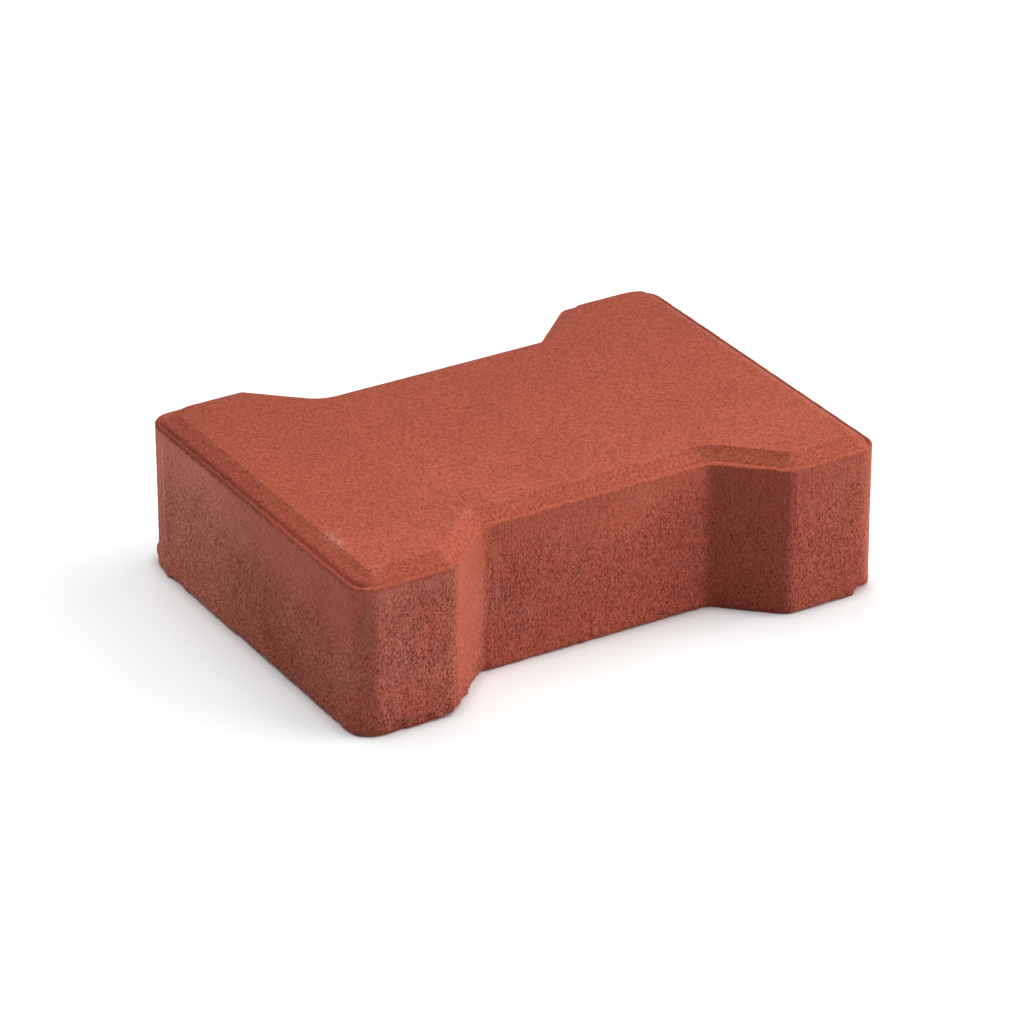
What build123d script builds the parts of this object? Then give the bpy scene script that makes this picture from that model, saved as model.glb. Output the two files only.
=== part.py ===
from build123d import *
import math
import os

# Interlocking double-T paving stone, cast and pressed in one piece of coloured concrete.
# Millimetres, +Z up. The origin is the middle of the bed face, the length runs along X
# and the width along Y.

# Overall block
LENGTH = 210.0
WIDTH = 153.0
THICKNESS = 60.0

# Notch in each long side, which takes the flanges of two neighbouring stones
NOTCH_DEPTH = 20.0
FLANGE_LENGTH = 37.5
SLANT_RUN = 21.5

# Upright edges of the side faces
CORNER_RADIUS = 9.0
SHOULDER_RADIUS = 6.0
ROOT_RADIUS = 8.0

# Bevel round the wearing face, from the side face in to the crease and up from the lip
BEVEL_WIDTH = 7.0
BEVEL_HEIGHT = 4.4
CREASE_RADIUS = 1.5

# Level lip that the stamp leaves outside the bevel, and the steep foot between the two
LIP_WIDTH = 0.9
FOOT_RUN = 1.4
FOOT_RISE = 1.6

# Heights and the turn of the outline, worked out from the sizes above
LIP_Z = THICKNESS - BEVEL_HEIGHT
FOOT_Z = LIP_Z + FOOT_RISE
SLANT_ANGLE = math.atan2(NOTCH_DEPTH, SLANT_RUN)


def outward_radius(radius, inset):
    """Radius of an outward corner, which tightens evenly from the side face to the crease."""
    return radius + (CREASE_RADIUS - radius) * inset / BEVEL_WIDTH


def plan(inset, z):
    """Outline of the stone drawn in by inset, as a face at height z."""
    edge_y = WIDTH / 2 - inset
    shoulder_x = LENGTH / 2 - FLANGE_LENGTH + inset * math.tan(SLANT_ANGLE / 2)
    quarter = [
        (LENGTH / 2 - inset, edge_y),
        (shoulder_x, edge_y),
        (shoulder_x - SLANT_RUN, edge_y - NOTCH_DEPTH),
    ]
    radii = [
        outward_radius(CORNER_RADIUS, inset),
        outward_radius(SHOULDER_RADIUS, inset),
        ROOT_RADIUS + inset,
    ]
    back = quarter + [(-x, y) for x, y in reversed(quarter)]
    front = [(-x, -y) for x, y in back]
    rounded = FilletPolyline(*back, *front, radius=2 * (radii + radii[::-1]), close=True)
    return Pos(0, 0, z) * make_face(rounded)


def straight_sides():
    """Lower block with upright sides, up to the level lip."""
    return extrude(plan(0, 0), LIP_Z)


def foot():
    """Steep foot of the bevel, which rises from the inner edge of the lip."""
    return loft([plan(LIP_WIDTH, LIP_Z), plan(LIP_WIDTH + FOOT_RUN, FOOT_Z)], ruled=True)


def crown():
    """Bevelled top, from the head of the foot up to the flat wearing face."""
    return loft([plan(LIP_WIDTH + FOOT_RUN, FOOT_Z), plan(BEVEL_WIDTH, THICKNESS)], ruled=True)


paving_stone = straight_sides() + foot() + crown()
paving_stone.label = "paving_stone"

os.makedirs("parts", exist_ok=True)
export_step(paving_stone, "parts/paving_stone.step")
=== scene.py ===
import math
import bpy
import numpy as np
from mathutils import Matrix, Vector, noise


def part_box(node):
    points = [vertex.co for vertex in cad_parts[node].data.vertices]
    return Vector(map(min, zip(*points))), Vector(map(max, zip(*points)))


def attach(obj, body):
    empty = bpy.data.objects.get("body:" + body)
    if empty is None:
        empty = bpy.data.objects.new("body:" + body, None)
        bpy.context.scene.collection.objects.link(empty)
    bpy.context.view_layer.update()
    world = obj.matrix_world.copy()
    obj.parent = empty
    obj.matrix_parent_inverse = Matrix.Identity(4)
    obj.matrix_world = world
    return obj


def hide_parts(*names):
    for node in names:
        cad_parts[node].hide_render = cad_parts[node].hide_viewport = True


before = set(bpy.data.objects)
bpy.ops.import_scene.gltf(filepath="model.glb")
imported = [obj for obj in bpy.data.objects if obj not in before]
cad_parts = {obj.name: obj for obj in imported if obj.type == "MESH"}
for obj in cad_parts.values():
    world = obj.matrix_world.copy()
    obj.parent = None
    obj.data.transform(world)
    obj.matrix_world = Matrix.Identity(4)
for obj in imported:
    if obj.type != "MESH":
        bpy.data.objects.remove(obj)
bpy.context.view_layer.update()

# Sizes of the stone, in millimetres. The overall ones come from the frame.
MM = 0.001
NODE = "paving_stone"
LOW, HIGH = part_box(NODE)
LENGTH, WIDTH, THICKNESS = [(high - low) / MM for low, high in zip(LOW, HIGH)]
NOTCH_DEPTH = 20.0
FLANGE_LENGTH = 37.5
SLANT_RUN = 21.5
CORNER_RADIUS = 9.0
SHOULDER_RADIUS = 6.0
ROOT_RADIUS = 8.0
CREASE_RADIUS = 1.5
BEVEL_WIDTH = 7.0
BEVEL_HEIGHT = 4.4
LIP_Z = THICKNESS - BEVEL_HEIGHT
BEVEL_FOOT_INSET = 3.0
BEVEL_FOOT_RISE = 1.35
BEVEL_FOOT_Z = LIP_Z + BEVEL_FOOT_RISE
SLANT_ANGLE = math.atan2(NOTCH_DEPTH, SLANT_RUN)
SHOULDER = LENGTH / 2 - FLANGE_LENGTH
SLANT_MIDDLE = SHOULDER - SLANT_RUN / 2

# Fineness of the mesh: distance between columns, and columns round each kind of upright edge.
# All the counts are even, and the flat top takes every second column.
SPACING = 0.82
CORNER_COLUMNS = 16
SHOULDER_COLUMNS = 6
ROOT_COLUMNS = 8

# Rings of the mesh as (inset, height): round the bottom edge, and over the lip from LIP_Z up
BASE_RINGS = (
    (5.0, 0.0), (3.2, 0.0), (2.0, 0.0), (1.2, 0.03), (0.75, 0.1), (0.45, 0.4), (0.15, 0.8), (0.0, 1.3),
)
LIP_RINGS = (
    (0.0, -0.4), (0.08, -0.05), (0.4, 0.15), (0.8, 0.15), (1.2, -0.05), (1.6, -0.3), (1.95, -0.25),
    (2.2, 0.15), (2.4, 0.6), (2.65, 1.0),
)
WALL_RINGS = round(LIP_Z / SPACING) - 3
WALL_RINGS_FROM = 2.0
WALL_RINGS_TO = LIP_Z - 0.9
BEVEL_RINGS = 7
BEVEL_RINGS_TO = 0.98
BEVEL_HOLLOW = 0.24
CREASE_DROP = 0.015
CREASE_ROUND = 0.15
TOP_RIM_INSET = BEVEL_WIDTH + 1.3
TOP_INSET = BEVEL_WIDTH + 2.0


def smooth_step(low, high, value):
    """0 at low and before it, 1 at high and past it, with a smooth rise between them."""
    t = np.clip((value - low) / (high - low), 0.0, 1.0)
    return t * t * (3.0 - 2.0 * t)


# Outline and mesh of the plain stone

def plan_corners(inset):
    """Sharp corners of the outline drawn in by inset, anticlockwise, with their radii and columns."""
    def outward(radius):
        return max(CREASE_RADIUS, radius + (CREASE_RADIUS - radius) * inset / BEVEL_WIDTH)
    edge_y = WIDTH / 2 - inset
    shoulder_x = SHOULDER + inset * math.tan(SLANT_ANGLE / 2)
    quarter = [
        ((LENGTH / 2 - inset, edge_y), outward(CORNER_RADIUS), CORNER_COLUMNS),
        ((shoulder_x, edge_y), outward(SHOULDER_RADIUS), SHOULDER_COLUMNS),
        ((shoulder_x - SLANT_RUN, edge_y - NOTCH_DEPTH), ROOT_RADIUS + inset, ROOT_COLUMNS),
    ]
    back = quarter + [((-x, y), radius, columns) for (x, y), radius, columns in reversed(quarter)]
    return back + [((-x, -y), radius, columns) for (x, y), radius, columns in back]


def arcs(inset):
    """Start, end, centre and turn of the arc at each corner of the outline."""
    corners = plan_corners(inset)
    points = [Vector(point) for point, radius, columns in corners]
    found = []
    for i, (point, radius, columns) in enumerate(corners):
        before = (points[i] - points[i - 1]).normalized()
        after = (points[(i + 1) % len(points)] - points[i]).normalized()
        turn = math.atan2(before.x * after.y - before.y * after.x, before.dot(after))
        reach = radius * math.tan(abs(turn) / 2)
        start = points[i] - before * reach
        left = Vector((-before.y, before.x)) * math.copysign(radius, turn)
        found.append((start, points[i] + after * reach, start + left, turn))
    return found


def line_columns():
    """Even number of columns on the straight run after each corner, from its length at the side face."""
    rounded = arcs(0.0)
    ends = zip(rounded, rounded[1:] + rounded[:1])
    return [2 * round((following[0] - here[1]).length / SPACING / 2) for here, following in ends]


LINE_COLUMNS = line_columns()


def ring(inset):
    """Plan points of the outline drawn in by inset, one for each column of the mesh."""
    corners = plan_corners(inset)
    rounded = arcs(inset)
    points = []
    for i, (start, end, centre, turn) in enumerate(rounded):
        columns = corners[i][2]
        arm = start - centre
        for k in range(columns):
            angle = turn * k / columns
            points.append((
                centre.x + arm.x * math.cos(angle) - arm.y * math.sin(angle),
                centre.y + arm.x * math.sin(angle) + arm.y * math.cos(angle),
            ))
        following = rounded[(i + 1) % len(rounded)][0]
        for k in range(LINE_COLUMNS[i]):
            points.append(tuple(end.lerp(following, k / LINE_COLUMNS[i])))
    return np.array(points)


def ring_heights():
    """Inset and height of each ring of the mesh, from the bed face up over the lip to the crease."""
    wall = [(0.0, z) for z in np.linspace(WALL_RINGS_FROM, WALL_RINGS_TO, WALL_RINGS)]
    lip = [(inset, LIP_Z + rise) for inset, rise in LIP_RINGS]
    bevel = []
    for share in np.linspace(0.0, BEVEL_RINGS_TO, BEVEL_RINGS):
        rise = share * (1 - BEVEL_HOLLOW + BEVEL_HOLLOW * share)
        inset = BEVEL_FOOT_INSET + (BEVEL_WIDTH - BEVEL_FOOT_INSET) * share
        bevel.append((inset, BEVEL_FOOT_Z + (THICKNESS - BEVEL_FOOT_Z) * rise))
    crease = [(BEVEL_WIDTH, THICKNESS - CREASE_DROP), (BEVEL_WIDTH + CREASE_ROUND, THICKNESS)]
    return list(BASE_RINGS) + wall + lip + bevel + crease


def top_patch(rim):
    """Points inside the flat wearing face, and the grid of all its point numbers, front left first.

    rim is the grid's edge as (x, y) rows, with half the columns of a ring."""
    corner = CORNER_COLUMNS // 4
    long_side = 2 * corner + sum(LINE_COLUMNS[0:5]) // 2 + SHOULDER_COLUMNS + ROOT_COLUMNS
    short_side = 2 * corner + LINE_COLUMNS[5] // 2
    count = len(rim)
    back = (corner + np.arange(long_side + 1)) % count
    left = (back[-1] + np.arange(short_side + 1)) % count
    front = (left[-1] + np.arange(long_side + 1)) % count
    right = (front[-1] + np.arange(short_side + 1)) % count
    bottom, top = rim[front], rim[back[::-1]]
    west, east = rim[left[::-1]], rim[right]
    u = ((bottom[:, 0] - bottom[0, 0]) / (bottom[-1, 0] - bottom[0, 0]))[:, None, None]
    v = ((west[:, 1] - west[0, 1]) / (west[-1, 1] - west[0, 1]))[None, :, None]
    patch = (1 - v) * bottom[:, None] + v * top[:, None] + (1 - u) * west[None] + u * east[None]
    patch -= (1 - u) * ((1 - v) * west[0] + v * west[-1]) + u * ((1 - v) * east[0] + v * east[-1])
    grid = np.full((long_side + 1, short_side + 1), -1)
    grid[:, 0], grid[:, -1] = front, back[::-1]
    grid[0, :], grid[-1, :] = left[::-1], right
    inner = patch[1:-1, 1:-1].reshape(-1, 2)
    grid[1:-1, 1:-1] = count + np.arange(len(inner)).reshape(long_side - 1, short_side - 1)
    return inner, grid


def plain_mesh():
    """Vertices of the stone before its relief, their distance in from the side face, and the faces."""
    heights = ring_heights()
    rings = [ring(inset) for inset, z in heights]
    columns = len(rings[0])
    layers = [np.c_[points, np.full(columns, z)] for points, (inset, z) in zip(rings, heights)]
    here = np.arange(columns)
    following = np.roll(here, -1)
    faces = []
    for row in range(len(rings) - 1):
        low, high = row * columns, (row + 1) * columns
        faces += np.c_[low + here, low + following, high + following, high + here].tolist()

    # A band of triangles joins the last ring to the flat top's rim, which has half its columns
    rim = ring(TOP_RIM_INSET)[::2]
    inner, grid = top_patch(rim)
    last = (len(rings) - 1) * columns
    first = len(rings) * columns
    start, middle, end = last + here[::2], last + here[1::2], last + np.roll(here, -2)[::2]
    near = first + np.arange(len(rim))
    far = np.roll(near, -1)
    for corners in ((start, middle, near), (middle, far, near), (middle, end, far)):
        faces += np.column_stack(corners).tolist()
    grid = grid + first
    squares = np.stack([grid[:-1, :-1], grid[1:, :-1], grid[1:, 1:], grid[:-1, 1:]], axis=-1)
    faces += squares.reshape(-1, 4).tolist()
    # The bed face closes the first ring
    faces.append(list(range(columns - 1, -1, -1)))
    flat = np.vstack([rim, inner])
    layers.append(np.c_[flat, np.full(len(flat), THICKNESS)])
    insets = np.repeat([inset for inset, z in heights], columns)
    return np.vstack(layers), np.append(insets, np.full(len(flat), TOP_INSET)), faces


# Relief of the cast and pressed concrete. Heights and depths are in millimetres.

SWAY_HEIGHT = 0.18
DRAG_HEIGHT = 0.06
GRAIN_HEIGHT = 0.10
PIT_DEPTH = 0.35
ROUGH_RISE = 0.04
SKIN_HEIGHT = 0.035
POCK_DEPTH = 0.10
BEAD_HEIGHT = 0.22
CRUMB_HEIGHT = 1.2
NICK_DEPTH = 0.3
SEAM_HEIGHT = 0.5
ROOT_FILL = 0.6
FLARE = 1.1
FLARE_TOP = 9.0
BURR = 0.8
SLANT_SET_BACK = 0.5
CREASE_SHIFT = 0.35
CORNER_WEAR = 0.8
BED_GAP = 0.25
FOOT_LIFT = 1.7
FULL_RELIEF = 0.5

# Where the side faces end and the lip starts, which front faces are the waist's, and where the lip,
# ragged along the front, becomes calm near the right end
WALL_TOP = LIP_Z - 0.2
LIP_START = LIP_Z - 0.7
WAIST_Y = -60.0
CALM_LIP_X = 95.0

# The mould leaves the sides smooth above the first height and open below the second
SMOOTH_ABOVE = 50.0
ROUGH_BELOW = 34.0

# Broken bits of the bottom edge: middle in plan, half length along the edge, depth inwards and height
CHIPS = (
    ((98.8, -75.2), 4.4, 3.2, 4.6),
    ((40.0, 56.5), 5.0, 1.4, 2.0),
    ((105.0, 22.0), 4.0, 1.6, 2.2),
    ((-84.0, 76.5), 4.0, 1.5, 2.0),
)

# Soft spots, each with its strength, its middle and its reach along x, y and z.
# Lumps of squeezed-out concrete near the bottom edge, with their height as strength
LUMPS = (
    (1.2, (-102.6, 74.2, 4.4), (3.2, 3.2, 2.6)),
    (0.9, (-105.0, 60.0, 1.0), (2.2, 3.0, 1.6)),
    (0.6, (-105.0, 46.0, 0.8), (2.2, 2.2, 1.4)),
    (0.5, (-105.0, 14.0, 0.8), (2.2, 2.6, 1.4)),
    (0.7, (-59.0, -68.8, 1.0), (1.6, 1.6, 1.6)),
    (0.6, (-65.0, -74.5, 3.0), (2.5, 2.5, 2.0)),
    (0.8, (70.0, 76.0, 2.0), (3.0, 3.0, 2.5)),
)
# The softened root of the front left notch
FILLED_ROOT = (
    (ROOT_FILL, (-46.0, -56.5, 30.0), (5.0, 5.0, 90.0)),
)
# Crumbling parts of the bottom edge, corners without a flare and worn back corners of the top
CRUMBLY_FOOT = (
    (1.0, (-84.0, -77.0, 0.0), (17.0, 5.0, 7.0)),
    (1.0, (-61.0, -70.0, 0.0), (8.0, 7.0, 6.0)),
)
UNFLARED_CORNERS = (
    (0.9, (-102.5, 74.0, 0.0), (6.0, 6.0, 30.0)),
    (0.9, (103.0, -74.0, 0.0), (7.0, 7.0, 30.0)),
)
WORN_CORNERS = (
    (CORNER_WEAR, (-98.0, 69.5, 60.0), (4.0, 4.0, 6.0)),
    (CORNER_WEAR, (98.0, 69.5, 60.0), (4.0, 4.0, 6.0)),
)
# The front right corner's side face
RIGHT_CORNER = (
    (1.0, (102.8, -74.3, 30.0), (4.5, 4.5, 60.0)),
)
# Areas of the left end and of the left flange with less dust
BARE_END = (
    (0.35, (-105.0, 59.0, 28.0), (20.0, 3.5, 16.0)),
)
BARE_FLANGE = (
    (0.45, (-79.0, -76.5, 34.0), (8.0, 6.0, 16.0)),
)
# Grey smears on the sides, pale scuffs on the top and areas with upright drag marks
SMEARS = (
    (1.0, (-101.0, -74.8, 40.0), (3.2, 3.2, 12.0)),
    (0.5, (-75.0, -76.5, 50.0), (6.0, 4.0, 5.0)),
    (0.6, (-101.0, -75.0, 16.0), (2.8, 2.8, 16.0)),
)
SCUFFS = (
    (1.0, (-97.0, -46.0, 60.0), (3.0, 7.0, 2.0)),
    (0.8, (-94.5, -70.0, 60.0), (2.6, 2.2, 2.0)),
    (0.6, (-48.5, -50.5, 60.0), (2.5, 2.0, 2.0)),
)
DRAG_AREAS = (
    (0.8, (-38.0, -56.5, 30.0), (9.0, 6.0, 40.0)),
    (0.4, (84.0, -76.5, 42.0), (16.0, 6.0, 12.0)),
    (0.7, (-82.0, -76.5, 34.0), (10.0, 6.0, 14.0)),
)
# Lighter and darker areas of the left end, of the faces that look to the front and of the top. On the front
# faces the lighter feet are painted light from the floor, and the darker area by the left notch root is
# painted shade.
END_TONES = (
    (-0.14, (-105.0, -20.0, 8.0), (20.0, 18.0, 14.0)),
    (-0.10, (-105.0, -62.0, 50.0), (20.0, 18.0, 14.0)),
)
# Painted light at the feet of the front faces and painted shade by the left notch root.
FRONT_TONES_AND_SHADING = (
    (0.10, (-84.0, -76.5, 13.0), (22.0, 10.0, 8.0)),
    (0.08, (6.0, -56.5, 6.0), (18.0, 10.0, 9.0)),
    (0.06, (10.0, -56.5, 42.0), (14.0, 10.0, 8.0)),
    (-0.10, (-36.0, -56.5, 27.0), (9.0, 10.0, 9.0)),
)
TOP_TONES = (
    (-0.09, (86.0, -64.0, 60.0), (16.0, 9.0, 20.0)),
)

# Two upright seams at the back of the left end: place along y and strength
SEAMS = ((64.2, 1.0), (66.8, 0.6))
SEAM_WIDTH = 0.7

# How far the groove inside the lip is filled on the long sides, by the distance in from the side face
FILL_INSETS = (0.4, 0.8, 1.2, 1.6, 1.95, 2.2, 2.4, 2.65, 3.0)
FILL_HEIGHTS = (0.0, 0.12, 0.38, 0.67, 0.75, 0.56, 0.31, 0.12, 0.0)

# Noise fields: the shift from one seed to the next, and how each octave fades and narrows
SEED_SHIFT = np.array((31.7, 17.3, 7.9))
OCTAVE_FADE = 1.0
OCTAVE_STEP = 2.0


def field(points, size, octaves, seed):
    """Smooth noise, mostly within -1 to 1, with features of the given size in millimetres."""
    places = points / np.asarray(size) + seed * SEED_SHIFT
    return np.array([noise.fractal(place, OCTAVE_FADE, OCTAVE_STEP, octaves) for place in places.tolist()])


def blob(points, centre, reach):
    """Soft spot that is 1 at its centre and fades over the reach along x, y and z."""
    away = (points - np.asarray(centre)) / np.asarray(reach)
    return np.exp(-(away * away).sum(axis=1))


def band(value, middle, reach):
    """Soft band that is 1 where value is at its middle and fades over the reach to both sides."""
    return np.exp(-((value - middle) / reach) ** 2)


def spots(points, table):
    """Sum of the soft spots of a table."""
    return sum(strength * blob(points, centre, reach) for strength, centre, reach in table)


class Surface:
    """Points of the plain stone, and where its faces, edges and marks lie as masks, mostly from 0 to 1."""

    def __init__(self, points, insets, normals):
        self.points = points
        self.insets = insets
        self.x, self.y, self.z = points.T
        upward = normals[:, 2]
        level = np.linalg.norm(normals[:, :2], axis=1)
        self.outward = normals[:, :2] / np.maximum(level, 1e-6)[:, None]
        self.wall = smooth_step(0.85, 0.55, np.abs(upward)) * (self.z < WALL_TOP)
        self.top = smooth_step(0.6, 0.95, upward) * (self.z > BEVEL_FOOT_Z - 0.1)
        self.lip = smooth_step(LIP_START, WALL_TOP, self.z) * (insets < 1.0)
        self.mark_faces()
        self.mark_slants()
        self.mark_end_edges()
        self.patch = field(points, 30.0, octaves=2, seed=1)
        self.mark_crumbly_foot()
        self.mark_roughness()
        self.mark_left_end()

    def mark_faces(self):
        """The left end, the faces that look to the front, and the front right corner."""
        out_x, out_y = self.outward.T
        self.left_end = smooth_step(0.9, 0.99, -out_x) * self.wall
        self.front = smooth_step(0.9, 0.99, -out_y) * self.wall
        self.waist = self.front * (self.y > WAIST_Y)
        self.left_flange = self.front * smooth_step(-60.0, -72.0, self.x)
        self.right_corner = spots(self.points, RIGHT_CORNER) * self.wall

    def mark_slants(self):
        """The front slants, which fade more softly into the notch's root than into the shoulder."""
        sine, cosine = math.sin(SLANT_ANGLE), math.cos(SLANT_ANGLE)
        self.to_left_slant = self.outward @ (sine, -cosine)
        shoulder = smooth_step(0.98, 0.9995, self.to_left_slant)
        root = smooth_step(0.75, 0.98, self.to_left_slant)
        self.left_slant = np.where(self.x < -SLANT_MIDDLE, shoulder, root) * self.wall * (self.x < 0)
        to_right_slant = self.outward @ (-sine, -cosine)
        shoulder = smooth_step(0.95, 0.99, to_right_slant)
        root = smooth_step(0.74, 0.99, to_right_slant)
        self.right_slant = np.where(self.x > SLANT_MIDDLE, shoulder, root) * self.wall * (self.x > 0)

    def mark_end_edges(self):
        """The upper edges of the two ends, from the side face in to the crease."""
        self.right_edge = smooth_step(1.6, 0.4, LENGTH / 2 - self.x - self.insets)
        from_left = self.x + LENGTH / 2 - self.insets
        back, front = smooth_step(7.0, 2.0, from_left), smooth_step(1.6, 0.4, from_left)
        self.left_edge = np.where(self.y > 0, back, front)

    def mark_crumbly_foot(self):
        """Where the bottom of the sides crumbles, most on the front left flange."""
        crumbly = np.clip(0.1 + 0.9 * spots(self.points, CRUMBLY_FOOT), 0.0, 1.0)
        self.crumbly = smooth_step(7.0, 0.5, self.z) * self.wall * crumbly

    def mark_roughness(self):
        """How open and pitted the sides are, with more than 1 where they are coarsest."""
        height = self.z + 13.0 * self.patch + 9.0 * self.right_slant - 6.0 * (1 - self.left_end)
        height += 0.1 * np.abs(self.y) * self.left_end + 4.5 * self.waist
        rough = self.wall * (0.15 + 0.85 * smooth_step(SMOOTH_ABOVE, ROUGH_BELOW, height))
        share = 1 - 0.85 * self.left_slant * smooth_step(4.0, 18.0, self.z) - 0.3 * self.right_slant
        share += 0.6 * self.left_end - 0.6 * self.right_corner + 0.3 * self.left_flange
        self.rough = rough * share + 0.5 * self.crumbly

    def mark_left_end(self):
        """The nicked strip under the lip, whose nicks the material paints darker as shade in them, and the
        two seams.
        """
        under_lip = smooth_step(LIP_Z - 1.9, LIP_Z - 1.2, self.z)
        self.under = under_lip * (0.1 * self.wall + 0.9 * self.left_end)
        seams = sum(strength * band(self.y, place, SEAM_WIDTH) for place, strength in SEAMS)
        middle = smooth_step(6.0, 14.0, self.z) * smooth_step(54.0, 46.0, self.z)
        self.seams = seams * self.left_end * middle


def fine_relief(surface):
    """Height of the drag marks, grain, pits, pocks, beads on the lip, crumbs and nicks at each point."""
    points, rough, top = surface.points, surface.rough, surface.top
    drag = field(points, (1.7, 1.7, 20.0), octaves=2, seed=2)
    drag *= DRAG_HEIGHT * surface.wall * (0.2 + 0.8 * rough)
    grain = field(points, 2.0, octaves=3, seed=3) * GRAIN_HEIGHT * rough
    pits = smooth_step(0.42, 0.70, field(points, (1.9, 1.9, 2.4), octaves=1, seed=4))
    pits *= PIT_DEPTH * np.minimum(rough, 1.0)
    skin = field(points, 4.0, octaves=3, seed=5) * SKIN_HEIGHT * top
    pocks = smooth_step(0.42, 0.62, field(points, 2.6, octaves=1, seed=6)) * POCK_DEPTH * top
    beaded = 0.4 + 0.6 * ((surface.x < -100.0) | (surface.y < 0)) * (surface.x < CALM_LIP_X)
    beads = field(points, 1.7, octaves=2, seed=7) * BEAD_HEIGHT * surface.lip * beaded
    crumbs = (field(points, 2.4, octaves=2, seed=8) - 0.25) * CRUMB_HEIGHT * surface.crumbly
    nicks = smooth_step(0.1, 0.4, field(points, (1.7, 1.7, 3.0), octaves=1, seed=9))
    nicks *= NICK_DEPTH * surface.under
    return drag + grain - pits + skin - pocks + beads + crumbs - nicks + ROUGH_RISE * rough


def broad_relief(surface):
    """Height of the faces' sway, the seams, the lumps and the filled notch root at each point."""
    points, wall = surface.points, surface.wall
    sway = surface.patch * SWAY_HEIGHT * (wall + 0.3 * surface.top)
    uneven = 1 + 0.5 * field(points, 2.2, octaves=2, seed=10)
    lumps = spots(points, LUMPS) * uneven * wall
    return sway + SEAM_HEIGHT * surface.seams + lumps + spots(points, FILLED_ROOT) * wall


def shape_top_edge(moved, surface):
    """Fills the groove inside the lip on the long sides, wears the crease and makes the lip wavy."""
    x, y, z, insets = surface.x, surface.y, surface.z, surface.insets
    in_front = (y < 0) & (np.abs(x) < 70.0)
    filled = np.where(in_front, 1.0, smooth_step(0.85, 0.35, np.abs(surface.outward[:, 0])))
    moved[:, 2] += filled * np.interp(insets, FILL_INSETS, FILL_HEIGHTS) * (z > LIP_Z - 0.4)
    shift = CREASE_SHIFT * surface.left_edge * band(insets, BEVEL_WIDTH, 0.8)
    moved[:, :2] -= surface.outward * shift[:, None]
    moved[:, 2] -= spots(surface.points, WORN_CORNERS) * (z > BEVEL_FOOT_Z)
    wavy = field(surface.points, (5.0, 5.0, 60.0), octaves=2, seed=13)
    wavy *= smooth_step(LIP_Z - 3.0, LIP_Z - 0.5, z) * (insets < 1.3)
    moved[:, 2] += (0.08 + 0.17 * (y < 0) * (x < CALM_LIP_X)) * wavy
    return moved


def break_edge(points, insets, inward, ragged):
    """Takes the chips out of the bottom edge. insets are the points' distances in from the side face."""
    moved = points.copy()
    for (x, y), reach, depth, height in CHIPS:
        away = np.hypot(points[:, 0] - x, points[:, 1] - y) / reach
        share = smooth_step(1.3, 0.5, away + 0.35 * ragged)
        close = share > 0.02
        cut = 1.0 - insets[close] / (depth * share[close]) - points[close, 2] / (height * share[close])
        step = np.maximum(cut, 0.0) * share[close] * depth * height / (depth + height)
        moved[close, :2] += inward[close] * step[:, None]
        moved[close, 2] += step
    return moved


def shape_bottom_edge(moved, surface):
    """Flares the foot of the sides, breaks the bottom edge and lifts it here and there off the floor."""
    points, insets = surface.points, surface.insets
    x, y, z = surface.x, surface.y, surface.z
    flare = smooth_step(FLARE_TOP, 0.9, z) * (FLARE + 0.25 * field(points, 14.0, octaves=1, seed=15))
    ragged = np.clip(0.1 + 0.4 * field(points, 2.4, octaves=2, seed=14), 0.0, BURR)
    flare += smooth_step(2.6, 0.8, z) * ragged
    flare *= 1 - spots(points, UNFLARED_CORNERS)
    # The left front slant has no flare and stands back instead
    slant = smooth_step(0.75, 0.97, surface.to_left_slant) * (x < 0) * (y < 0)
    flare = flare * (1 - slant) - SLANT_SET_BACK * slant * smooth_step(52.0, 25.0, z)
    flare *= (insets < 0.8) * (z < WALL_TOP)
    moved[:, :2] += surface.outward * flare[:, None]
    moved = break_edge(moved, insets, -surface.outward, field(points, 2.6, octaves=2, seed=11))
    gap = smooth_step(-0.5, 0.3, field(points, 7.0, octaves=2, seed=16))
    gap *= smooth_step(2.0, 0.5, insets) * smooth_step(1.3, 0.6, z)
    moved[:, 2] = np.maximum(moved[:, 2] + BED_GAP * gap, 0.0)
    # The foot of the front left shoulder is broken away from below
    broken = smooth_step(-78.0, -68.0, x) * smooth_step(-60.0, -64.0, x) * (y < WAIST_Y)
    broken *= smooth_step(3.2, 1.5, insets)
    lift = (FOOT_LIFT + 0.5 * field(points, 2.4, octaves=1, seed=18)) * broken
    moved[:, 2] = np.maximum(moved[:, 2], lift)
    return moved


def dust_and_shading_mask(surface):
    """Pale cement dust, most on the left end towards the back. The extra dust on the front right corner is
    a painted highlight and the lack of it on the right slant painted shade; it stops below the lip, which
    leaves a darker strip there, partly bare concrete and partly painted shade under the lip.
    """
    points = surface.points
    dust = 0.02 + 0.35 * field(points, 24.0, octaves=3, seed=12)
    to_back = 0.36 + 0.59 * smooth_step(-25.0, 55.0, surface.y)
    dust += surface.left_end * (to_back - spots(points, BARE_END))
    dust += surface.left_flange * (0.4 - spots(points, BARE_FLANGE))
    # Painted highlight on the front right corner and painted shade on the right slant.
    dust += 0.15 * surface.left_slant - 0.2 * surface.right_slant + 0.4 * surface.right_corner
    dust *= smooth_step(LIP_Z - 0.6, LIP_Z - 1.8, surface.z)
    return np.clip(dust, 0, 1) * np.maximum(surface.wall, 0.15)


def scuff_and_highlight_mask(surface):
    """Pale scuffs on the top and along the crease, and a painted highlight along the crease of the right
    end.
    """
    points, insets = surface.points, surface.insets
    worn = smooth_step(0.0, 0.4, field(points, 9.0, octaves=2, seed=17)) * (surface.x > -90.0)
    scuffs = spots(points, SCUFFS) + 0.4 * worn * band(insets, BEVEL_WIDTH, 0.3)
    # Painted highlight along the right end's crease.
    scuffs += 0.9 * surface.right_edge * band(insets, BEVEL_WIDTH, 0.6)
    return np.clip(scuffs, 0, 1) * (1 - surface.wall)


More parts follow.
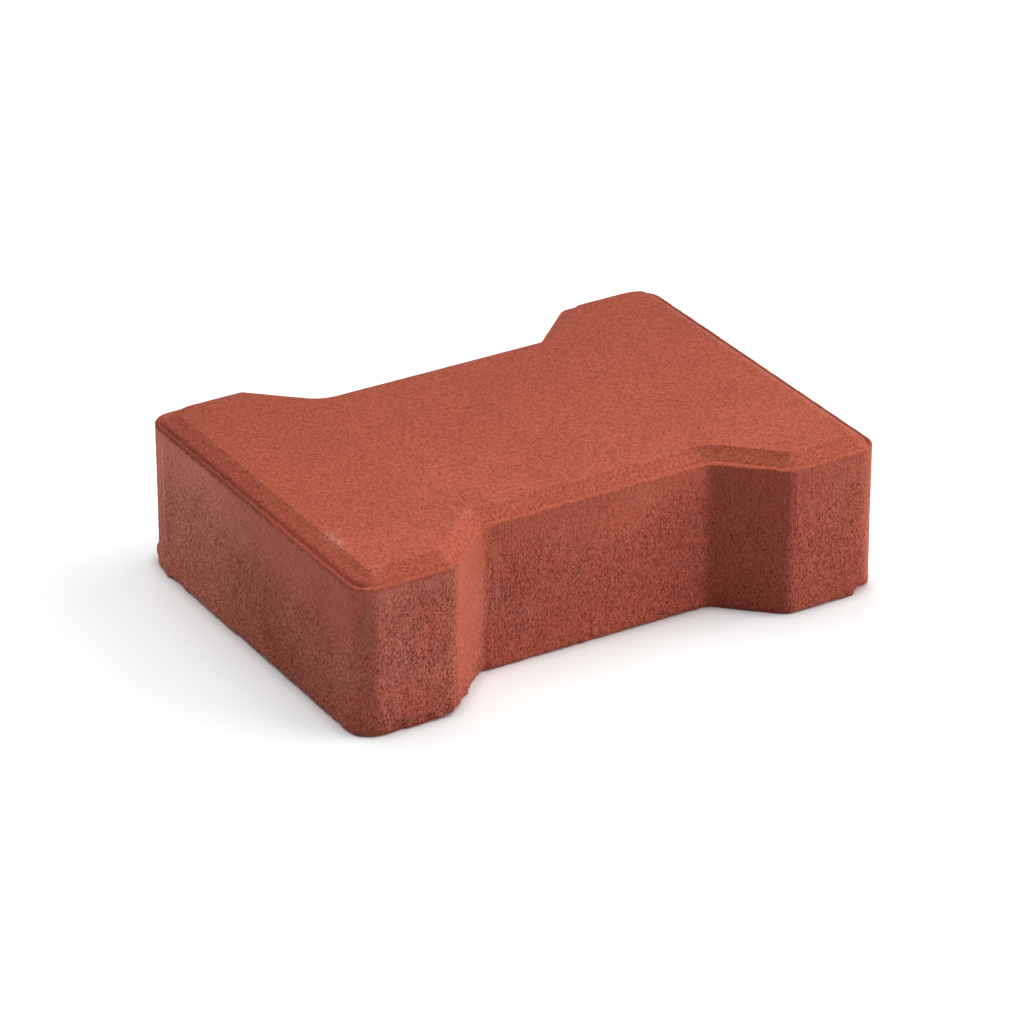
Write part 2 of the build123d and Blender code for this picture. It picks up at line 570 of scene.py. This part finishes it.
def side_tone_and_shading(surface):
    """How much lighter or darker broad areas of the sides are painted than the common level: partly the
    concrete's own colour, partly painted light and shade.
    """
    x, y, z = surface.x, surface.y, surface.z
    end = 0.10 * smooth_step(0.0, 35.0, y) - 0.07 * smooth_step(30.0, 0.0, y)
    end += 0.06 * smooth_step(14.0, 2.0, z) + spots(surface.points, END_TONES)
    # Painted shade on the left part of the waist, beside the notch root.
    front = spots(surface.points, FRONT_TONES_AND_SHADING) - 0.06 * smooth_step(-15.0, -40.0, x) * (x > -60.0)
    # Painted light on the waist: lighter to the right, where the right flange shades it, and at the foot,
    # for light from the floor.
    waist = 0.08 * smooth_step(5.0, 40.0, x) + 0.07 * smooth_step(16.0, 3.0, z)
    tone_and_shading = surface.left_end * end + surface.front * front + surface.waist * waist
    # Painted highlight on the front right corner and painted shade on the right slant.
    return tone_and_shading + 0.12 * surface.right_corner - 0.18 * surface.right_slant - 0.06 * surface.left_flange


def edge_tone_and_shading(surface):
    """The same for the lip, the groove and the bevel: darker on the ends, lighter along the front. The
    darker groove of the left end and of the right slant is painted shade, where the bevel keeps the light
    off it.
    """
    x, y, insets, lip = surface.x, surface.y, surface.insets, surface.lip
    rear = smooth_step(-25.0, 20.0, y)
    left = 0.1 * band(insets, 4.2, 0.8) - (0.24 + 0.26 * rear) * lip
    # Painted shade in the left end's groove.
    left -= (0.14 + 0.16 * rear) * band(insets, 1.8, 0.8)
    right = 0.28 * smooth_step(6.4, 5.8, insets) * (surface.z > LIP_START)
    tone_and_shading = surface.left_edge * left - surface.right_edge * right
    tone_and_shading -= 0.10 * lip * (y < -70.0) * (x > -97.0) * (x < -66.0)
    right_slant = smooth_step(40.0, 47.0, x) * smooth_step(74.0, 68.0, x) * (y < -45.0)
    # Painted shade on the right slant's groove and bevel.
    tone_and_shading -= 0.09 * right_slant * smooth_step(1.8, 2.6, insets) * (insets < BEVEL_WIDTH)
    along_front = (insets > 1.0) * (insets < BEVEL_WIDTH) * (y < 0)
    return tone_and_shading + 0.08 * along_front * smooth_step(-65.0, -45.0, x)


def top_tone_and_shading(surface):
    """The same for the wearing face, which is darker on the right front flange, and darker to the back as
    painted shade for light that falls off away from the lamps.
    """
    left = 0.03 * smooth_step(-40.0, -85.0, surface.x) * smooth_step(-45.0, -15.0, surface.y)
    # Painted shade: the top darkens towards the back.
    to_back = 0.09 + 0.0017 * surface.y
    return (1 - surface.wall) * spots(surface.points, TOP_TONES) - surface.top * (to_back + left)


def add_relief(points, insets, normals):
    """Moves the points of the plain stone and returns them with the masks that the material reads."""
    surface = Surface(points, insets, normals)
    fine = fine_relief(surface)
    moved = points + normals * (fine + broad_relief(surface))[:, None]
    moved = shape_top_edge(moved, surface)
    moved = shape_bottom_edge(moved, surface)
    masks = {
        "side": surface.wall,
        "rough": surface.rough,
        # Fine relief, which the material paints darker in its hollows as shade and lighter on its crests as
        # wear.
        "relief": np.clip(fine / FULL_RELIEF, -1, 1),
        "under": surface.under,
        "crumb": np.clip(surface.crumbly, 0, 1),
        "seam": np.clip(surface.seams, 0, 1),
        # Where the lip gets its painted highlight.
        "rim": surface.lip * (1 - 0.8 * surface.left_edge),
        # Dust, with a painted highlight on the front right corner and painted shade on the right slant and
        # under the lip.
        "dust": dust_and_shading_mask(surface),
        "smear": np.clip(spots(points, SMEARS), 0, 1) * surface.wall,
        # Scuffs, and a painted highlight along the right end's crease.
        "pale": scuff_and_highlight_mask(surface),
        # Broad areas painted lighter or darker: partly the concrete's own colour, partly painted light and
        # shade.
        "tone_and_shading": 1.0 + side_tone_and_shading(surface) + edge_tone_and_shading(surface) + top_tone_and_shading(surface),
        "dragged": np.clip(0.2 + spots(points, DRAG_AREAS), 0, 1) * surface.wall,
    }
    return moved, masks


def build_stone():
    """The stone as one mesh with its relief, which takes the place of the plain solid."""
    points, insets, faces = plain_mesh()
    mesh = bpy.data.meshes.new("paving_stone_cast")
    mesh.from_pydata((points * MM).tolist(), [], faces)
    normals = np.empty(len(points) * 3)
    mesh.vertices.foreach_get("normal", normals)
    moved, masks = add_relief(points, insets, normals.reshape(-1, 3))
    mesh.vertices.foreach_set("co", (moved * MM).ravel())
    for name, values in masks.items():
        attribute = mesh.attributes.new(name, "FLOAT", "POINT")
        attribute.data.foreach_set("value", values.astype(np.float32))
    mesh.shade_smooth()
    mesh.update()
    stone = bpy.data.objects.new("paving_stone_cast", mesh)
    bpy.context.collection.objects.link(stone)
    return stone


# Materials

class Nodes:
    """Short calls that add shader nodes to a tree and return the socket to go on from."""

    def __init__(self, tree):
        self.tree = tree
        tree.nodes.clear()

    def add(self, kind, output=0, inputs=None, **settings):
        node = self.tree.nodes.new("ShaderNode" + kind)
        for name, value in settings.items():
            setattr(node, name, value)
        for name, value in (inputs or {}).items():
            if isinstance(value, bpy.types.NodeSocket):
                self.tree.links.new(value, node.inputs[name])
            else:
                node.inputs[name].default_value = value
        return node.outputs[output]

    def finish(self, kind, surface):
        """Links the surface to the tree's output node."""
        output = self.tree.nodes.new("ShaderNodeOutput" + kind)
        self.tree.links.new(surface, output.inputs["Surface"])

    def attribute(self, name):
        return self.add("Attribute", "Fac", attribute_name=name)

    def stretch(self, vector, upright=1.0, shift=(0.0, 0.0, 0.0)):
        """The place in millimetres, with heights times upright, so that a low value gives upright marks."""
        scale = (1 / MM, 1 / MM, upright / MM)
        return self.add("Mapping", 0, {"Vector": vector, "Scale": scale, "Location": shift})

    def noise(self, vector, size, detail=2.0, roughness=0.5):
        inputs = {"Vector": vector, "Scale": 1.0 / size, "Detail": detail, "Roughness": roughness}
        return self.add("TexNoise", "Fac", inputs)

    def math(self, operation, a, b=0.0):
        return self.add("Math", 0, {0: a, 1: b}, operation=operation)

    def plus(self, a, b):
        return self.math("ADD", a, b)

    def minus(self, a, b):
        return self.math("SUBTRACT", a, b)

    def times(self, a, b):
        return self.math("MULTIPLY", a, b)

    def remap(self, value, low, high, to_low=0.0, to_high=1.0):
        inputs = {"Value": value, "From Min": low, "From Max": high, "To Min": to_low, "To Max": to_high}
        return self.add("MapRange", 0, inputs, interpolation_type="SMOOTHSTEP")

    def mix(self, factor, a, b):
        return self.add("Mix", 2, {0: factor, 6: a, 7: b}, data_type="RGBA")

    def cover(self, colour, mask, share, paint):
        """The colour, with a share of it painted over where the mask is 1."""
        return self.mix(self.times(mask, share), colour, paint)

    def dim(self, colour, share):
        """The colour times a grey share."""
        grey = self.add("CombineColor", 0, {0: share, 1: share, 2: share})
        return self.add("Mix", 2, {0: 1.0, 6: colour, 7: grey}, data_type="RGBA", blend_type="MULTIPLY")

    def darken(self, colour, mask, share):
        """The colour, dimmed to a share of it where the mask is 1."""
        return self.dim(colour, self.remap(mask, 0.0, 1.0, 1.0, share))


TOP_DARK = (0.33, 0.060, 0.031, 1)
TOP_LIGHT = (0.60, 0.138, 0.080, 1)
TOP_GRAIN = (0.66, 0.22, 0.15, 1)
SIDE_DARK = (0.19, 0.028, 0.015, 1)
SIDE_LIGHT = (0.68, 0.160, 0.097, 1)
DUSTY_DARK = (0.235, 0.058, 0.036, 1)
DUSTY_LIGHT = (0.78, 0.252, 0.176, 1)
SPECK_COLOUR = (0.74, 0.30, 0.22, 1)
# Pale colour painted on the seams as a highlight on their ridges.
SEAM_HIGHLIGHT_COLOUR = (0.80, 0.32, 0.235, 1)
SMEAR_COLOUR = (0.27, 0.12, 0.09, 1)
# Lighter orange painted on the lip as a highlight where its top catches the light.
LIP_HIGHLIGHT_COLOUR = (0.60, 0.150, 0.085, 1)
# Colour of the scuffs and of the painted highlight along the right end's crease.
SCUFF_AND_HIGHLIGHT_COLOUR = (0.66, 0.27, 0.20, 1)
CONCRETE_ROUGHNESS = 0.9
CONCRETE_SPECULAR = 0.25

# Shifts that keep one noise apart from another, and scales of height that draw the grain and the drag
# lines out upright
OTHER_SHIFT = (300.0, 170.0, 90.0)
OTHER_UPRIGHT_SHIFT = (70.0, 40.0, 20.0)
GRAIN_UPRIGHT = 0.5
DRAG_UPRIGHT = 0.07


def top_look(nodes, spot, other, speckle):
    """Colour and bump height of the top: even red with fine speckle, open pores painted darker as shade in
    them, and pale grains.
    """
    pores = nodes.remap(nodes.noise(other, size=1.3, detail=1.0), 0.62, 0.70)
    grains = nodes.remap(nodes.noise(spot, size=1.5, detail=1.0), 0.66, 0.74)
    red = nodes.mix(nodes.remap(speckle, 0.25, 0.75), TOP_DARK, TOP_LIGHT)
    # Painted shade in the open pores.
    red = nodes.darken(red, pores, 0.76)
    red = nodes.cover(red, grains, 0.35, TOP_GRAIN)
    return red, nodes.minus(nodes.times(speckle, 0.16), nodes.times(pores, 0.10))


def side_grain(nodes, place, rough):
    """Fine grain with dark upright marks, thin cracks and drag lines, and pale specks, by roughness."""
    upright = nodes.stretch(place, GRAIN_UPRIGHT)
    other_upright = nodes.stretch(place, GRAIN_UPRIGHT, OTHER_UPRIGHT_SHIFT)
    streak = nodes.stretch(place, DRAG_UPRIGHT)
    fine = nodes.minus(nodes.noise(upright, size=0.42, detail=1.0, roughness=0.6), 0.5)
    marks = nodes.remap(nodes.noise(other_upright, size=0.75, detail=2.0, roughness=0.65), 0.46, 0.30)
    cracks = nodes.minus(nodes.noise(upright, size=1.1, detail=1.0, roughness=0.6), 0.5)
    cracks = nodes.remap(nodes.math("ABSOLUTE", cracks), 0.05, 0.0)
    drag = nodes.minus(nodes.noise(streak, size=0.6, detail=2.0, roughness=0.6), 0.5)
    drag = nodes.times(drag, nodes.attribute("dragged"))
    dark = nodes.plus(nodes.times(marks, 0.50), nodes.times(cracks, 0.34))
    grain = nodes.minus(nodes.times(fine, 2.0), dark)
    grain = nodes.times(grain, nodes.remap(rough, 0.0, 2.0, 0.65, 1.5))
    grain = nodes.plus(grain, nodes.times(drag, 1.8))
    specks = nodes.remap(nodes.noise(other_upright, size=0.55, detail=1.0), 0.63, 0.72)
    return grain, nodes.times(specks, nodes.remap(rough, 0.0, 1.5, 0.4, 1.0))


def side_look(nodes, place, spot, other):
    """Colour and bump height of the sides: grain and dust with pits, nicks, clods, seams and smears. The
    pits, nicks and clods are painted darker, as shade in them, and the seams paler, as a highlight on their
    ridges.
    """
    rough, dust = nodes.attribute("rough"), nodes.attribute("dust")
    grain, specks = side_grain(nodes, place, rough)
    blotches = nodes.minus(nodes.noise(other, size=0.95, detail=1.0), 0.5)
    blotches = nodes.times(nodes.times(blotches, rough), dust)
    pits = nodes.remap(nodes.noise(other, size=1.1, detail=1.0), 0.64, 0.72)
    pits = nodes.times(pits, rough)
    nicks = nodes.remap(nodes.noise(spot, size=1.1, detail=0.0), 0.57, 0.64)
    nicks = nodes.times(nicks, nodes.attribute("under"))
    clods = nodes.remap(nodes.noise(spot, size=1.5, detail=2.0, roughness=0.6), 0.47, 0.40)
    clods = nodes.times(clods, nodes.attribute("crumb"))

    shade = nodes.remap(grain, -0.9, 0.5)
    bare = nodes.mix(shade, SIDE_DARK, SIDE_LIGHT)
    # The dust mask also carries a painted highlight on the front right corner and painted shade on the
    # right slant and under the lip.
    red = nodes.mix(dust, bare, nodes.mix(shade, DUSTY_DARK, DUSTY_LIGHT))
    red = nodes.dim(red, nodes.plus(nodes.times(blotches, 0.45), 1.0))
    # Painted shade in the pits, in the nicks under the lip and among the clods of the crumbly foot.
    red = nodes.darken(red, pits, 0.7)
    red = nodes.darken(red, nicks, 0.65)
    red = nodes.darken(red, clods, 0.5)
    red = nodes.cover(red, specks, 0.5, SPECK_COLOUR)
    # Painted highlight on the ridges of the two seams.
    red = nodes.cover(red, nodes.attribute("seam"), 0.85, SEAM_HIGHLIGHT_COLOUR)
    red = nodes.cover(red, nodes.attribute("smear"), 0.36, SMEAR_COLOUR)
    holes = nodes.plus(nodes.times(nicks, 0.3), nodes.times(pits, 0.2))
    return red, nodes.minus(nodes.times(grain, 0.2), holes)


def concrete():
    """Red through-coloured concrete: speckled top, dragged and pitted sides, pale dust and scuffs, with
    painted shade in pores, pits, nicks, grooves and hollows, painted highlights on the lip, the seams, the
    right end's crease and the front right corner, and broad areas painted lighter or darker.
    """
    material = bpy.data.materials.new("red_concrete")
    material.use_nodes = True
    nodes = Nodes(material.node_tree)
    place = nodes.add("TexCoord", "Object")
    spot = nodes.stretch(place)
    other = nodes.stretch(place, shift=OTHER_SHIFT)
    side = nodes.attribute("side")
    speckle = nodes.noise(spot, size=0.9, detail=2.0, roughness=0.7)
    top_red, top_height = top_look(nodes, spot, other, speckle)
    side_red, side_height = side_look(nodes, place, spot, other)

    colour = nodes.mix(side, top_red, side_red)
    # Painted highlight: lighter orange patches along the lip, where its top catches the light.
    lip_highlight = nodes.remap(nodes.noise(spot, size=2.0, detail=1.0), 0.45, 0.6)
    colour = nodes.cover(colour, nodes.times(nodes.attribute("rim"), lip_highlight), 0.35, LIP_HIGHLIGHT_COLOUR)
    # Pale scuffs, and a painted highlight along the right end's crease.
    worn = nodes.times(nodes.attribute("pale"), nodes.remap(speckle, 0.35, 0.6))
    colour = nodes.cover(colour, worn, 0.6, SCUFF_AND_HIGHLIGHT_COLOUR)
    mottle = nodes.remap(nodes.noise(spot, size=24.0, detail=2.0), 0.3, 0.7, 0.97, 1.03)
    # Broad areas painted lighter or darker, partly as painted light and shade, times a large mottle.
    colour = nodes.dim(colour, nodes.times(nodes.attribute("tone_and_shading"), mottle))
    # Painted shade in the hollows of the fine relief, and lighter crests as wear.
    colour = nodes.dim(colour, nodes.remap(nodes.attribute("relief"), -1.0, 1.0, 0.84, 1.12))

    height = nodes.add("Mix", 0, {0: side, 2: top_height, 3: side_height}, data_type="FLOAT")
    inputs = {
        "Base Color": colour,
        "Roughness": CONCRETE_ROUGHNESS,
        "Specular IOR Level": CONCRETE_SPECULAR,
        "Normal": nodes.add("Bump", 0, {"Height": height, "Strength": 1.0, "Distance": MM}),
    }
    nodes.finish("Material", nodes.add("BsdfPrincipled", 0, inputs))
    return material


# Stage, light and camera

WHITE = (1, 1, 1, 1)
FLOOR_RADIUS = 6.0
FLOOR_EDGES = 96
FLOOR_COLOUR = (0.88, 0.88, 0.88, 1)
GLOW_COLOUR = (0.91, 1.0, 1.0, 1)
GLOW_STRENGTH = 0.31
# Reach of the painted contact shadow in the floor's glow.
GLOW_FADE = 0.005


def seen(nodes):
    """1 for rays that look at a surface, straight on or by reflection, and 0 for rays that light one."""
    path = nodes.tree.nodes.new("ShaderNodeLightPath").outputs
    looking = nodes.math("MAXIMUM", path["Is Camera Ray"], path["Is Glossy Ray"])
    return nodes.math("MAXIMUM", looking, path["Is Transmission Ray"])


def pale_floor():
    """Pale diffuse surface with a glow that fades where the stone stands over the floor or touches it,
    which paints a contact shadow found by ambient occlusion.
    """
    material = bpy.data.materials.new("pale_floor")
    material.use_nodes = True
    nodes = Nodes(material.node_tree)
    diffuse = nodes.add("BsdfDiffuse", 0, {"Color": FLOOR_COLOUR})
    # Painted contact shadow: the glow dims where the stone is close by.
    open_sky = nodes.add("AmbientOcclusion", "AO", {"Distance": GLOW_FADE}, samples=8)
    strength = nodes.times(nodes.times(open_sky, open_sky), GLOW_STRENGTH)
    strength = nodes.times(seen(nodes), strength)
    glow = nodes.add("Emission", 0, {"Color": GLOW_COLOUR, "Strength": strength})
    nodes.finish("Material", nodes.add("AddShader", 0, {0: diffuse, 1: glow}))
    return material


def build_floor():
    """Plain round floor that keeps the shadow, and looks white where nothing shades it."""
    mesh = bpy.data.meshes.new("floor")
    turns = np.linspace(0.0, 2 * np.pi, FLOOR_EDGES, endpoint=False)
    edge = [(FLOOR_RADIUS * math.cos(turn), FLOOR_RADIUS * math.sin(turn), 0.0) for turn in turns]
    mesh.from_pydata(edge, [], [list(range(len(edge)))])
    mesh.materials.append(pale_floor())
    floor = bpy.data.objects.new("floor", mesh)
    bpy.context.collection.objects.link(floor)


def build_world():
    """White background that gives no light of its own."""
    world = bpy.data.worlds.new("studio")
    bpy.context.scene.world = world
    world.use_nodes = True
    nodes = Nodes(world.node_tree)
    nodes.finish("World", nodes.add("Background", 0, {"Color": WHITE, "Strength": seen(nodes)}))


# Soft distant lamps: name, azimuth and elevation in degrees, and part of a level surface's light
LAMPS = (
    ("key", 60.0, 28.0, 0.245),
    ("side", 90.0, 28.0, 0.105),
    ("end", 240.0, 28.0, 0.068),
    ("back", 180.0, 58.0, 0.28),
    ("high", 80.0, 79.0, 0.325),
)
LAMP_SPREAD = 50.0


def add_lamps():
    """The soft lamps, which light a level surface at a plain level together."""
    for name, azimuth, elevation, share in LAMPS:
        lamp = bpy.data.lights.new(name, "SUN")
        lamp.energy = math.pi * share / math.sin(math.radians(elevation))
        lamp.angle = math.radians(LAMP_SPREAD)
        holder = bpy.data.objects.new(name, lamp)
        holder.rotation_euler = (math.radians(90 - elevation), 0.0, math.radians(azimuth))
        bpy.context.collection.objects.link(holder)


CAMERA_AZIMUTH = -31.013
CAMERA_ELEVATION = 27.612
CAMERA_DISTANCE = 1.76788
CAMERA_AIM = Vector((0.00005, 0.00016, 0.02402))
CAMERA_SENSOR = 36.0
CAMERA_LENS = 175.42


def add_camera():
    """Camera at the photograph's angle, with a long lens."""
    data = bpy.data.cameras.new("camera")
    data.sensor_width = CAMERA_SENSOR
    data.lens = CAMERA_LENS
    camera = bpy.data.objects.new("camera", data)
    azimuth, elevation = math.radians(CAMERA_AZIMUTH), math.radians(CAMERA_ELEVATION)
    level = math.cos(elevation)
    back = Vector((math.sin(azimuth) * level, -math.cos(azimuth) * level, math.sin(elevation)))
    camera.location = CAMERA_AIM + back * CAMERA_DISTANCE
    camera.rotation_euler = (math.radians(90) - elevation, 0.0, azimuth)
    bpy.context.collection.objects.link(camera)
    bpy.context.scene.camera = camera


stone = build_stone()
stone.data.materials.append(concrete())
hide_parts(NODE)
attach(stone, "root")

build_floor()
build_world()
add_lamps()
add_camera()
bpy.context.scene.view_settings.view_transform = "Standard"
